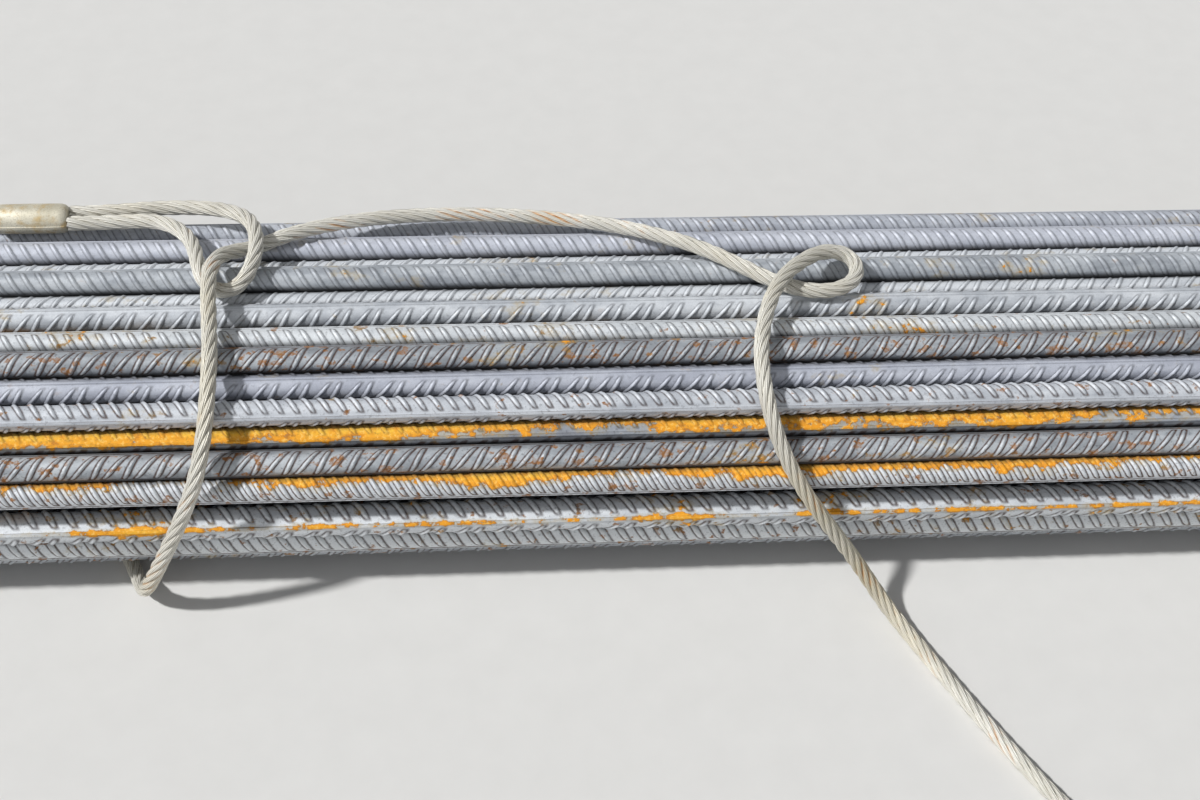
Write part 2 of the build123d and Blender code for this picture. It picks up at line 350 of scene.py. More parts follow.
def finish_piece(name, mesh, sharp=35):
    """Turns a bmesh into a piece that rides with the bundle."""
    made = kept(mesh, name)
    made.shade_smooth()
    made.set_sharp_from_angle(angle=math.radians(sharp))
    piece = bpy.data.objects.new(name, made)
    scene.collection.objects.link(piece)
    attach(piece, "root")
    return piece


FERRULE_SHOULDER = [
    (0.0, 0.0), (0.0, 0.0062), (0.0006, 0.0078), (0.0020, 0.0089), (0.0040, 0.0096), (0.0060, 0.0098),
]
FERRULE_PROFILE = FERRULE_SHOULDER + [(FERRULE_LENGTH / 2, 0.0099)] + [
    (FERRULE_LENGTH - along, radius) for along, radius in reversed(FERRULE_SHOULDER)
]


def make_ferrule(name, ferrule):
    """A pressed ferrule with its flash lines."""
    start, axis = ferrule
    place = Matrix.Translation(start) @ axis.to_track_quat("X", "Z").to_matrix().to_4x4()
    mesh = spun(FERRULE_PROFILE, FERRULE_SEGMENTS)
    flash = []
    for face in mesh.faces:
        middle = face.calc_center_median()
        if abs(middle.z) < FLASH_HALF_WIDTH and FLASH_END < middle.x < FERRULE_LENGTH - FLASH_END:
            flash.append(face)
    bmesh.ops.inset_region(
        mesh, faces=flash, thickness=FLASH_INSET, depth=FLASH_HEIGHT, use_even_offset=True,
    )
    bmesh.ops.transform(mesh, matrix=place, verts=mesh.verts)
    return finish_piece(name, mesh)


choke_ferrule = make_ferrule("choke_ferrule_pressed", CHOKE_FERRULE)
lifting_ferrule = make_ferrule("lifting_ferrule_pressed", LIFTING_FERRULE)
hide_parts("choke_ferrule")
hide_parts("lifting_ferrule")

# %% [markdown]
# ## Where the bars lie
#
# The plain model has each bar as a smooth round rod of its nominal size. The script reads them back from
# there: a bar's middle, its diameter and its two ends. A bar inside the bundle shows nothing but its
# ends, so each bar also learns which ways it looks out past its neighbours.


# %% Read the bars
NOOK_REACH = 0.0050
NEIGHBOUR_REACH = 0.032
DIRECTIONS = 48
FLOOR_SIDE = -0.5


class Bar:
    """A bar of the plain model."""

    def __init__(self, corners):
        low = Vector([min(corner[axis] for corner in corners) for axis in range(3)])
        high = Vector([max(corner[axis] for corner in corners) for axis in range(3)])
        self.left = low.x
        self.length = high.x - low.x
        self.y = (low.y + high.y) / 2
        self.z = (low.z + high.z) / 2
        self.diameter = round(high.z - low.z, 3)


def loose_solids(node):
    """The corners of each separate solid in a node."""
    mesh = bmesh.new()
    mesh.from_mesh(nodes[node].data)
    bmesh.ops.remove_doubles(mesh, verts=mesh.verts, dist=MERGE)
    waiting = set(mesh.verts)
    solids = []
    while waiting:
        reached = [waiting.pop()]
        for vertex in reached:
            for edge in vertex.link_edges:
                other = edge.other_vert(vertex)
                if other in waiting:
                    waiting.remove(other)
                    reached.append(other)
        solids.append([vertex.co.copy() for vertex in reached])
    mesh.free()
    return solids


def nook_depth(y, z, neighbours):
    """How near a spot is to the next bar, from 0 in the open to 1 where they touch."""
    gap = min((math.hypot(other.y - y, other.z - z) - other.diameter / 2 for other in neighbours), default=1)
    return min(max(1 - gap / NOOK_REACH, 0), 1)


def open_directions(bar, bars):
    """The angles, up from straight back, at which neither a bar nor the floor hides the bar."""
    free = []
    for step in range(DIRECTIONS):
        angle = 2 * math.pi * step / DIRECTIONS
        way_y, way_z = math.cos(angle), math.sin(angle)
        hidden = way_z < FLOOR_SIDE
        for other in bars:
            aside_y, aside_z = other.y - bar.y, other.z - bar.z
            ahead = aside_y * way_y + aside_z * way_z
            if ahead > 0.001 and abs(aside_y * way_z - aside_z * way_y) < other.diameter / 2:
                hidden = True
                break
        if not hidden:
            free.append(angle)
    return free


layers = {}
for node in sorted(nodes):
    if node.startswith("bars_layer_"):
        found = [Bar(corners) for corners in loose_solids(node)]
        layers[node] = sorted(found, key=lambda bar: (round(bar.y, 4), round(bar.z, 4)))
all_bars = [bar for layer in layers.values() for bar in layer]
for bar in all_bars:
    bar.free = open_directions(bar, all_bars)
    bar.neighbours = [
        other for other in all_bars
        if other is not bar and math.hypot(other.y - bar.y, other.z - bar.z) < NEIGHBOUR_REACH
    ]
print(len(all_bars), "bars,", sum(bool(bar.free) for bar in all_bars), "of them on the outside")

# %% [markdown]
# ## Each bar's own look
#
# No two bars in a bundle look alike. One lay in the rain and is bright orange, its neighbour has clean
# blue-grey mill scale, a third was dragged and is worn bright along its ribs. Bars also lie rolled to
# any angle, so that one shows its parallel ribs, another the ribs of its other side, and a third the
# straight rib between the two. The bars that the picture shows have their looks given one by one, from the
# back to the front, and the rest draw theirs by chance. A skin has a tone from dark to light and may
# lean to lilac. Rust starts brown at the feet of the ribs, and orange rust spreads from where water stays.
# The bright heads of a worn bar's ribs are in part a painted glint.

# %% Give each bar its roll and its look
TOWARDS_CAMERA = math.pi - ELEVATION
SAME_PLACE = 0.002
FEW_DIRECTIONS = 6


@dataclass
class Look:
    """How a bar is rolled, in degrees, and how its skin has aged, mostly from 0 to 1.

    side says on which edge the orange rust lies, above 0 for the upper one, run how much it grows towards
    the right, for each metre, and line how much of it lies along the straight ribs. A dense bar has its
    ribs closer together.
    """

    roll: float
    tone: float = 0.6
    lilac: float = 0.2
    rust: float = 0.1
    orange: float = 0.0
    # wear_and_glint: how bright the ribs' heads are, from wear and in part a painted glint.
    wear_and_glint: float = 0.25
    side: float = 0.0
    run: float = 0.0
    line: float = 0.0
    dense: bool = False


CHOSEN_LOOKS = [
    ((0.0766, 0.1382), Look(175, tone=0.62, lilac=0.5, rust=0.20)),
    ((0.0532, 0.1452), Look(180, tone=0.75, lilac=0.8, rust=0.05)),
    ((0.0373, 0.1398), Look(-25, tone=0.90, rust=0.05)),
    ((0.0217, 0.1490), Look(185, tone=0.58, lilac=0.1)),
    ((0.0075, 0.1400), Look(-20, tone=0.88, rust=0.05)),
    ((-0.0084, 0.1456), Look(44, tone=0.74)),
    ((-0.0314, 0.1460), Look(186, tone=0.84, lilac=0.0, rust=0.35, orange=0.12)),
    ((-0.0482, 0.1460), Look(0, tone=0.48, lilac=0.0, rust=1.0, wear_and_glint=0.9)),
    ((-0.0619, 0.1363), Look(52, lilac=0.8)),
    ((-0.0816, 0.1341), Look(118, tone=0.74, lilac=0.3, rust=0.45, wear_and_glint=0.4)),
    ((-0.0867, 0.1181), Look(110, tone=0.50, rust=0.60, orange=0.49, side=0.50, run=-0.60, line=0.12)),
    ((-0.1017, 0.1105), Look(2, tone=0.56, lilac=0.0, rust=0.90, wear_and_glint=0.8)),
    ((-0.1101, 0.0959), Look(172, tone=0.90, rust=0.75, orange=0.25, wear_and_glint=0.6, side=0.46, dense=True)),
    ((-0.1088, 0.0626), Look(112, tone=0.84, lilac=0.1, rust=0.50, orange=0.10, line=0.44, run=-0.1)),
    ((-0.1048, 0.0422), Look(180, tone=1.15, lilac=0.0, rust=0.60, orange=0.08, wear_and_glint=1.0, run=0.4)),
    ((-0.0972, 0.0250), Look(25, tone=0.50, lilac=0.0, rust=0.55, wear_and_glint=0.4)),
]


def chance_look():
    """A look for a bar that the picture doesn't show."""
    return Look(
        random.uniform(0, 360),
        tone=random.uniform(0.42, 0.80),
        lilac=random.choice([0, 0.1, 0.3, 0.6, 0.9]),
        rust=random.random() ** 1.5,
        orange=random.choice([0, 0, 0, 0.05, 0.1, 0.2, 0.4]),
        wear_and_glint=random.uniform(0.1, 0.8),
        side=random.choice([0, 0.15, 0.3]),
        run=random.uniform(-0.2, 0.2),
    )


for bar in all_bars:
    bar.look = chance_look()
    if len(bar.free) < FEW_DIRECTIONS:
        bar.look.orange = 0
    for (y, z), look in CHOSEN_LOOKS:
        if abs(bar.y - y) < SAME_PLACE and abs(bar.z - z) < SAME_PLACE:
            bar.look = look
            look.taken = True
    bar.seed = random.random()
print(sum(hasattr(look, "taken") for _, look in CHOSEN_LOOKS), "of", len(CHOSEN_LOOKS), "chosen looks used")

# %% [markdown]
# ## Ribs
#
# A rib is a crescent: highest in the middle and running out into the bar at both ends. One flat profile
# is spun round the bar's axis, and a small shift along the bar at each step makes it lean. Then each
# point is let down towards the bar, the more the nearer it is to the rib's ends. On one side of the bar
# all ribs lean alike, and on the other they lean by turns more and less.

# %% Make one rib
RIB_PITCH = 0.60
DENSE_PITCH = 0.44
RIB_HEIGHT = 0.080
RIB_SHOULDER = 0.10
SHOULDER_LEVEL = 0.8
RIB_FOOT = 0.27
RIB_HALF_ANGLE = math.radians(74)
CORE_SHARE = 0.482
LEAN_PARALLEL = math.radians(60)
LEAN_STEEP = math.radians(-62)
LEAN_FLAT = math.radians(-49)
ROOT_DEPTH = 0.0002
FOOT_AT_ENDS = 0.55
FINE_STEPS = 6
PLAIN_STEPS = 4


def make_rib(diameter, lean, fine):
    """A rib of a bar along X, with its middle at the bar's +Y side."""
    steps = FINE_STEPS if fine else PLAIN_STEPS
    core = diameter * CORE_SHARE
    root = core - ROOT_DEPTH
    top = core + diameter * RIB_HEIGHT
    half_foot = diameter * RIB_FOOT / 2
    half_shoulder = diameter * RIB_SHOULDER / 2
    shoulder = root + (top - root) * SHOULDER_LEVEL
    run = 2 * RIB_HALF_ANGLE * core / math.tan(lean)
    places = [(-half_foot, root), (0.0, top), (half_foot, root)]
    if fine:
        places[1:2] = [(-half_shoulder, shoulder), (0.0, top), (half_shoulder, shoulder)]
    mesh = bmesh.new()
    points = [mesh.verts.new((along, radius, 0)) for along, radius in places]
    edges = [mesh.edges.new(pair) for pair in zip(points, points[1:])]
    bmesh.ops.rotate(mesh, verts=points, cent=(0, 0, 0), matrix=Matrix.Rotation(-RIB_HALF_ANGLE, 3, "X"))
    bmesh.ops.spin(
        mesh, geom=points + edges, cent=(0, 0, 0), axis=(1, 0, 0), dvec=(run / steps, 0, 0),
        angle=2 * RIB_HALF_ANGLE, steps=steps, use_merge=False, use_normal_flip=False, use_duplicate=False,
    )
    for vertex in mesh.verts:
        angle = math.atan2(vertex.co.z, vertex.co.y)
        share = angle / RIB_HALF_ANGLE
        swell = math.sqrt(max(0.0, 1 - share * share))
        radius = math.hypot(vertex.co.y, vertex.co.z)
        let_down = root + (radius - root) * swell
        middle = run / 2 * (1 + share)
        width = FOOT_AT_ENDS + (1 - FOOT_AT_ENDS) * swell
        along = middle + (vertex.co.x - middle) * width - run / 2
        vertex.co = (along, let_down * math.cos(angle), let_down * math.sin(angle))
    bmesh.ops.recalc_face_normals(mesh, faces=mesh.faces)
    outward = sum(face.normal.dot(face.calc_center_median() * Vector((0, 1, 1))) for face in mesh.faces)
    if outward < 0:
        bmesh.ops.reverse_faces(mesh, faces=mesh.faces)
    return kept(mesh, "rib")


def repeated(made, count, step):
    """A mesh repeated along the bar."""
    holder = bpy.data.objects.new("row", made)
    array = holder.modifiers.new("row", "ARRAY")
    array.use_relative_offset = False
    array.use_constant_offset = True
    array.constant_offset_displace = (step, 0, 0)
    array.count = count
    return mesh_of(holder)


# %% [markdown]
# ## Rows of ribs
#
# A six metre bar has some 600 ribs on each side, so the rows come from an array, and every bar of a size
# shares them. In the middle, 0.43 m to each side, where the picture was taken, the ribs have shoulders
# and more steps. Further out a plainer rib keeps the mesh small. A bar inside the bundle shows nothing
# but its ends, so it gets four ribs there on each side and none between.

# %% Make the rows that the bars share
FINE_REACH = 0.43
BAR_LENGTH = 6.0
END_MARGIN = 0.016
END_RIBS = 4


def rows_for(diameter, pitch, leans):
    """The rows near the bar's middle, those further out, and the short ones at the ends of an inner bar.

    Each is a list of pairs, a mesh and the place of its first rib along the bar, one for each lean.
    """
    def row(start, count, fine=False):
        """Ribs with their leans by turns, count of them in all, the first one start pitches along."""
        pairs = []
        for turn, lean in enumerate(leans):
            rib = make_rib(diameter, lean, fine)
            share = (count - turn + len(leans) - 1) // len(leans)
            place = END_MARGIN + start * pitch + turn * pitch
            pairs.append((repeated(rib, share, pitch * len(leans)), place))
        return pairs

    total = int((BAR_LENGTH - 2 * END_MARGIN) / pitch)
    total -= total % len(leans)
    before = int((BAR_LENGTH / 2 - FINE_REACH - END_MARGIN) / pitch)
    before -= before % len(leans)
    near = row(before, total - 2 * before, fine=True)
    far = row(0, before) + row(total - before, before)
    ends = row(0, END_RIBS) + row(total - END_RIBS, END_RIBS)
    return near, far, ends


def pitch_of(bar):
    return bar.diameter * (DENSE_PITCH if bar.look.dense else RIB_PITCH)


kinds = sorted({(bar.diameter, pitch_of(bar)) for bar in all_bars})
parallel_rows = {kind: rows_for(*kind, [LEAN_PARALLEL]) for kind in kinds}
turning_rows = {kind: rows_for(*kind, [LEAN_STEEP, LEAN_FLAT]) for kind in kinds}
for kind in kinds:
    faces = sum(len(made.polygons) for made, place in parallel_rows[kind][0] + parallel_rows[kind][1])
    print(f"{kind[0] * 1000:.0f} mm bar, a rib each {kind[1] * 1000:.1f} mm: {faces} faces in one side's row")

# %% [markdown]
# ## A whole bar
#
# The bar under the ribs is slightly thinner than its nominal size, because the ribs count towards its
# weight. Two straight ribs run along it, between the two rows. They are pulled out of the long faces of
# the bar where the halves of the rolls met. The ends were sheared, so they are not quite square.
#
# Each bar carries what its skin needs to know. Its look is stored in its points, and so is the wetness
# that brings orange rust, which differs between its edges. Its map counts ribs along the bar and turns
# round it, and the skin works out from it how near each spot is to the foot of a rib, where it paints
# shade and dirt. Shade is painted where bars touch, so each point also learns how near the next bar is.


# %% Build a bar
CORE_SIDES = 24
STRAIGHT_RIB_INSET = 0.022
STRAIGHT_RIB_HEIGHT = 0.05
END_SKEW = 0.05
CUT_END = (-10, 0.25)
RUN_REACH = 0.7
LINE_WIDTH = 0.35
NEAR_ROW_WITHIN = 76
FAR_ROW_WITHIN = 60
SKIN_NUMBERS = ("relief", "wet", "nook", "pitch", "seed")
BAR_SHARP = 62


def add_core(mesh, bar):
    """The bar without its cross ribs, from x = 0, with its first row's middle at +Y."""
    radius = bar.diameter * CORE_SHARE
    lying = Matrix.Rotation(math.pi / 2, 4, "Y") @ Matrix.Rotation(math.pi / CORE_SIDES, 4, "Z")
    bmesh.ops.create_cone(
        mesh, cap_ends=True, segments=CORE_SIDES, radius1=radius, radius2=radius, depth=bar.length,
        matrix=Matrix.Translation((bar.length / 2, 0, 0)) @ lying,
    )
    edge_faces = [
        face for face in mesh.faces
        if abs(face.normal.x) < 0.5 and abs(face.calc_center_median().y) < bar.diameter * 0.02
    ]
    bmesh.ops.inset_individual(
        mesh, faces=edge_faces, thickness=bar.diameter * STRAIGHT_RIB_INSET,
        depth=bar.diameter * STRAIGHT_RIB_HEIGHT, use_even_offset=True,
    )
    skew_y = random.uniform(-END_SKEW, END_SKEW)
    skew_z = random.uniform(-END_SKEW, END_SKEW)
    for vertex in mesh.verts:
        inward = 1 if vertex.co.x < bar.length / 2 else -1
        vertex.co.x += inward * abs(skew_y * vertex.co.y + skew_z * vertex.co.z)


def map_core(mesh, bar):
    """Lays the map: ribs from the first one along the bar, and turns round it from the first row.

    The cut ends lie together at a spot of their own.
    """
    layer = mesh.loops.layers.uv.new("ribs")
    for face in mesh.faces:
        if abs(face.normal.x) > 0.5:
            for corner in face.loops:
                corner[layer].uv = CUT_END
            continue
        middle = face.calc_center_median()
        facing = math.atan2(middle.z, middle.y)
        for corner in face.loops:
            place = corner.vert.co
            angle = math.atan2(place.z, place.y)
            angle += 2 * math.pi * round((facing - angle) / (2 * math.pi))
            corner[layer].uv = ((place.x - END_MARGIN) / pitch_of(bar), angle / (2 * math.pi))


def add_rows(mesh, rows, turned):
    for made, place in rows:
        first = len(mesh.verts)
        mesh.from_mesh(made)
        mesh.verts.ensure_lookup_table()
        moved = turned @ Matrix.Translation((place, 0, 0))
        bmesh.ops.transform(mesh, matrix=moved, verts=mesh.verts[first:])


def looks_out(bar, middle, within):
    """Whether the bar is open within so many degrees of the angle at which a row has its middle."""
    limit = math.cos(math.radians(within))
    return sum(math.cos(angle - middle) > limit for angle in bar.free) > 1


def skin_layers(mesh):
    """New stores in the mesh's points for a bar's skin, the last one for its look."""
    stores = mesh.verts.layers
    return [stores.float.new(name) for name in SKIN_NUMBERS] + [stores.float_color.new("look")]


def store_skin(mesh, bar, roll):
    """Stores the bar's look, its relief from 0 at the feet of the ribs to 1 on top, and its wetness."""
    relief, wet, nook, pitch, seed, look = skin_layers(mesh)
    core = bar.diameter * CORE_SHARE
    depths = {}
    height = bar.diameter * RIB_HEIGHT
    upper_edge = TOWARDS_CAMERA - math.pi / 2 - roll
    for vertex in mesh.verts:
        out = math.hypot(vertex.co.y, vertex.co.z)
        angle = math.atan2(vertex.co.z, vertex.co.y)
        vertex[relief] = min(max((out - core) / height, 0), 1)
        spot = (round(angle, 1), round(out, 4))
        if spot not in depths:
            across = (bar.y + out * math.cos(angle + roll), bar.z + out * math.sin(angle + roll))
            depths[spot] = nook_depth(*across, bar.neighbours)
        vertex[nook] = depths[spot]
        vertex[wet] = (
            bar.look.orange
            + bar.look.side * math.cos(angle - upper_edge)
            + bar.look.run * min(max(vertex.co.x + bar.left, -RUN_REACH), RUN_REACH)
            + bar.look.line * max(0, 1 - abs(math.cos(angle)) / LINE_WIDTH)
        )
        vertex[pitch] = pitch_of(bar) / bar.diameter
        vertex[seed] = bar.seed
        vertex[look] = (bar.look.tone, bar.look.lilac, bar.look.rust, bar.look.wear_and_glint)


def bar_mesh(bar):
    """One bar in its place."""
    mesh = bmesh.new()
    add_core(mesh, bar)
    map_core(mesh, bar)
    roll = TOWARDS_CAMERA + math.radians(bar.look.roll)
    kind = (bar.diameter, pitch_of(bar))
    for rows, middle in ((turning_rows, 0.0), (parallel_rows, math.pi)):
        near, far, ends = rows[kind]
        turned = Matrix.Rotation(middle, 4, "X")
        if looks_out(bar, roll + middle, NEAR_ROW_WITHIN):
            add_rows(mesh, near, turned)
        add_rows(mesh, far if looks_out(bar, roll + middle, FAR_ROW_WITHIN) else ends, turned)
    store_skin(mesh, bar, roll)
    place = Matrix.Translation((bar.left, bar.y, bar.z)) @ Matrix.Rotation(roll, 4, "X")
    bmesh.ops.transform(mesh, matrix=place, verts=mesh.verts)
    return kept(mesh, "bar")


# %% Build the bars, layer by layer
def make_layer(node, bars):
    """All bars of a layer as one piece."""
    mesh = bmesh.new()
    mesh.loops.layers.uv.new("ribs")
    skin_layers(mesh)
    for bar in bars:
        made = bar_mesh(bar)
        mesh.from_mesh(made)
        bpy.data.meshes.remove(made)
    piece = finish_piece(node + "_ribbed", mesh, BAR_SHARP)
    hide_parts(node)
    triangles = sum(len(face.vertices) - 2 for face in piece.data.polygons)
    print(piece.name, len(bars), "bars,", triangles, "triangles")
    return piece


ribbed = [make_layer(node, bars) for node, bars in layers.items()]

# %% [markdown]
# ## Ties
#
# The ties are wire rod, drawn tight and round, and the plain model's tie has that shape, in flat facets.
# A copy with its loose triangles joined and its faces shaded smooth shows it as round wire. What it
# lacks is the knot: a machine twists the rod's two ends together and bends them flat along the bars, so
# that no hook catches in them. The twist is wound by the same helix as the rope's strands.

# %% Smooth the ties and twist their ends
TIE_ROD_RADIUS = 0.004
TWIST_LAY = 0.046
TWIST_LENGTH = 0.115
TWIST_ABOVE_RIBS = 0.0012
TWIST_PRESS = 0.98
SHORTER_END = 5


def twist_path(low, high):
    """The middle line of the twisted ends, from the tie's top along the highest bar."""
    highest = max(all_bars, key=lambda bar: bar.z + bar.diameter / 2)
    start = (low.x + high.x) / 2
    rest = highest.z + highest.diameter / 2 + TWIST_ABOVE_RIBS + 2 * TIE_ROD_RADIUS
    y = highest.y
    return path_along([
        (start - 0.002, y + 0.001, rest - 0.0035), (start + 0.010, y + 0.001, rest + 0.0025),
        (start + 0.024, y, rest + 0.0015), (start + 0.045, y - 0.002, rest),
        (start + 0.070, y - 0.002, rest), (start + 0.095, y + 0.001, rest + 0.0005),
        (start + TWIST_LENGTH, y + 0.004, rest + 0.002),
    ])


def twisted_ends(low, high):
    """Two rods wound round each other, as a mesh."""
    path = twist_path(low, high)
    frames = carried_frames(path)
    data = new_curve("twist", 3)
    for turn, cut in ((0.0, 0), (math.pi, SHORTER_END)):
        wound = helix(path, frames, turn, TIE_ROD_RADIUS * TWIST_PRESS, TWIST_LAY)
        add_spline(data, "POLY", wound[:len(wound) - cut], TIE_ROD_RADIUS)
    return mesh_of(bpy.data.objects.new("twist", data))


def tie_with_knot(node):
    """The plain model's tie, joined and shaded smooth, with its twisted ends."""
    mesh = bmesh.new()
    mesh.from_mesh(nodes[node].data)
    bmesh.ops.remove_doubles(mesh, verts=mesh.verts, dist=MERGE)
    low, high = (Vector(corner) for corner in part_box(node))
    mesh.from_mesh(twisted_ends(low, high))
    piece = finish_piece(node + "_rod", mesh)
    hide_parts(node)
    print(piece.name, len(piece.data.polygons), "faces")
    return piece


ties = [tie_with_knot(node) for node in sorted(nodes) if node.startswith("wire_tie_")]

# %% [markdown]
# ## Building materials from nodes
#
# A material is a small network: textures make patterns, ramps turn patterns into masks, and mixes lay
# one colour over another where a mask says so. A few helpers keep that short. Colours are given as they
# look on a screen and are turned into the linear values that Blender reckons with.


# %% Helpers for materials
NOISE_ROUGHNESS = 0.55


def colour(red, green, blue):
    """A screen colour from 0 to 255 as a linear one."""
    def linear(value):
        value /= 255
        return value / 12.92 if value <= 0.04045 else ((value + 0.055) / 1.055) ** 2.4
    return (linear(red), linear(green), linear(blue), 1)


class Network:
    """The nodes of a material, or of the world, added one by one."""

    def __init__(self, name, shelf=bpy.data.materials, shader="Principled BSDF"):
        self.owner = shelf.new(name)
        self.owner.use_nodes = True
        self.tree = self.owner.node_tree
        self.shader = self.tree.nodes[shader]

    def add(self, kind, settings=None, **inputs):
        node = self.tree.nodes.new(kind)
        for name, value in (settings or {}).items():
            setattr(node, name, value)
        for name, value in inputs.items():
            self.set(node, name, value)
        return node

    def set(self, node, name, value):
        key = int(name[1:]) if name[0] == "_" else name.replace("_", " ")
        if isinstance(value, bpy.types.NodeSocket):
            self.tree.links.new(value, node.inputs[key])
        else:
            node.inputs[key].default_value = value

    def noise(self, scale, detail, squeeze=1, shift=(0, 0, 0)):
        """Noise of so many patches to the metre; below 1, squeeze draws it out along the bars."""
        place = self.add("ShaderNodeTexCoord").outputs["Object"]
        drawn = {"_0": place, "_1": (squeeze, 1, 1), "_2": shift}
        place = self.add("ShaderNodeVectorMath", {"operation": "MULTIPLY_ADD"}, **drawn).outputs[0]
        kind = {"Scale": scale, "Detail": detail, "Roughness": NOISE_ROUGHNESS}
        return self.add("ShaderNodeTexNoise", Vector=place, **kind).outputs["Fac"]

    def range(self, value, low, high, to_low=0.0, to_high=1.0):
        """A value between low and high, carried over to one between to_low and to_high."""
        limits = {"From_Min": low, "From_Max": high, "To_Min": to_low, "To_Max": to_high}
        return self.add("ShaderNodeMapRange", {"clamp": True}, Value=value, **limits).outputs["Result"]

    def spread(self, noise, low, high):
        """Noise, most of which lies between 0.3 and 0.7, spread from low to high."""
        return self.range(noise, 0.3, 0.7, low, high)

    def math(self, operation, first, second=0.0, third=0.0):
        return self.add("ShaderNodeMath", {"operation": operation}, _0=first, _1=second, _2=third).outputs[0]

    def times(self, first, second):
        return self.math("MULTIPLY", first, second)

    def plus(self, first, second):
        return self.math("ADD", first, second)

    def minus(self, first, second):
        return self.math("SUBTRACT", first, second)

    def larger(self, first, second):
        return self.math("MAXIMUM", first, second)

    def mix(self, mask, first, second):
        return self.add("ShaderNodeMix", {"data_type": "RGBA"}, _0=mask, _6=first, _7=second).outputs[2]

    def coat(self, base, tint, value, *limits):
        """Lays a tint over the base where range takes the value near 1."""
        return self.mix(self.range(value, *limits), base, tint)

    def attribute(self, name, output="Fac"):
        return self.add("ShaderNodeAttribute", {"attribute_name": name}).outputs[output]

    def map_parts(self, name=""):
        """The two numbers of a piece's map; it needs no name where the piece has only one."""
        flat = self.add("ShaderNodeUVMap", {"uv_map": name}).outputs["UV"]
        parts = self.add("ShaderNodeSeparateXYZ", Vector=flat)
        return parts.outputs["X"], parts.outputs["Y"]

    def bump(self, height, strength, distance):
        return self.add("ShaderNodeBump", Height=height, Strength=strength, Distance=distance).outputs[0]

    def finish(self, **inputs):
        for name, value in inputs.items():
            self.set(self.shader, name, value)
        return self.owner


def dress(pieces, material):
    for piece in pieces:
        piece.data.materials.append(material)


# %% [markdown]
# ## Rolled steel
#
# Hot steel leaves the mill under a skin of blue-grey scale. Handling rubs it bright on the ribs' heads,
# and part of that brightness is a painted glint.
# Rain finds the grooves first and leaves them brown, and where water stood the bar turns orange, with an
# ochre stain round it. The stored relief tells the material what is rib and what is groove, and the
# stored look how far each of these has gone on this bar. The skin is laid on in that order, coat by
# coat, and each coat is a function of its own. The cut ends are bare steel with brown rust.
# Grey at the ribs' feet is painted shade with some dirt, and the dark where bars touch is painted shade.

# %% What the bars' skin reads
SCALE_DARK = colour(114, 117, 123)
SCALE_MIDDLE = colour(164, 170, 176)
SCALE_LIGHT = colour(224, 228, 231)
SCALE_LILAC = colour(190, 193, 211)
# The ribs' bright heads are wear and in part a painted glint.
WORN_STEEL_AND_GLINT = colour(228, 230, 232)
# Dark grey specks, and grey at the ribs' feet that is painted shade with some dirt.
GREY_DIRT_AND_SHADE = colour(66, 67, 72)
# Painted shade where bars touch.
NOOK_SHADE = colour(44, 42, 42)
GROOVE_BROWN = colour(76, 48, 34)
STAIN_OCHRE = colour(172, 150, 92)
RUST_BROWN = colour(146, 98, 50)
RUST_ORANGE = colour(240, 160, 34)
RUST_YELLOW = colour(252, 198, 66)
RUST_PALE = colour(255, 214, 116)
CUT_GREY = colour(138, 138, 140)
CUT_RUST = colour(134, 88, 58)
ROUND_THE_CORE = CORE_SHARE * 2 * math.pi
SHIFT_BY_BAR = 40.0


class Skin:
    """What a bar has stored, and noises from streaks and clouds to fine grain, other ones for each bar."""

    def __init__(self, net):
        parts = net.add("ShaderNodeSeparateColor", Color=net.attribute("look", "Color"))
        self.tone, self.lilac, self.rust = (parts.outputs[name] for name in ("Red", "Green", "Blue"))
        self.wear_and_glint = net.attribute("look", "Alpha")
        self.relief, self.wet, self.nook, self.pitch = (
            net.attribute(name) for name in ("relief", "wet", "nook", "pitch")
        )
        self.along, self.turn = net.map_parts("ribs")
        shift = net.times(net.attribute("seed"), SHIFT_BY_BAR)
        self.streaks = net.noise(90, 6, 0.2, shift)
        self.clouds = net.noise(26, 5, 0.5, shift)
        self.spots = net.noise(150, 4, 0.8, shift)
        self.specks = net.noise(480, 3, 1, shift)
        self.grain = net.noise(1600, 2, 1, shift)


def foot_mask(net, skin):
    """1 beside the ribs and 0 between them, from the bar's map."""
    turn = net.math("WRAP", skin.turn, 0.75, -0.25)
    second_side = net.math("GREATER_THAN", turn, 0.25)
    from_middle = net.minus(turn, net.times(second_side, 0.5))

    def from_rib(lean, first, period):
        """How far a spot is along the bar from the nearest rib of a row, in pitches."""
        slant = net.math("DIVIDE", net.times(from_middle, ROUND_THE_CORE / math.tan(lean)), skin.pitch)
        return net.math("PINGPONG", net.minus(net.minus(skin.along, first), slant), period / 2)

    turning = net.math("MINIMUM", from_rib(LEAN_STEEP, 0, 2), from_rib(LEAN_FLAT, 1, 2))
    parallel = from_rib(LEAN_PARALLEL, 0, 1)
    near = net.add("ShaderNodeMix", {"data_type": "FLOAT"}, _0=second_side, _2=turning, _3=parallel)
    share = net.times(net.math("ABSOLUTE", from_middle), 2 * math.pi / RIB_HALF_ANGLE)
    swell = net.math("SQRT", net.minus(1.0, net.math("MINIMUM", net.times(share, share), 1.0)))
    half_foot = net.range(swell, 0.0, 1.0, FOOT_AT_ENDS * RIB_FOOT / 2, RIB_FOOT / 2)
    past_foot = net.minus(near.outputs[0], net.math("DIVIDE", half_foot, skin.pitch))
    return net.times(net.range(past_foot, -0.03, 0.09, 1.0, 0.0), net.range(share, 0.86, 1.02, 1.0, 0.0))


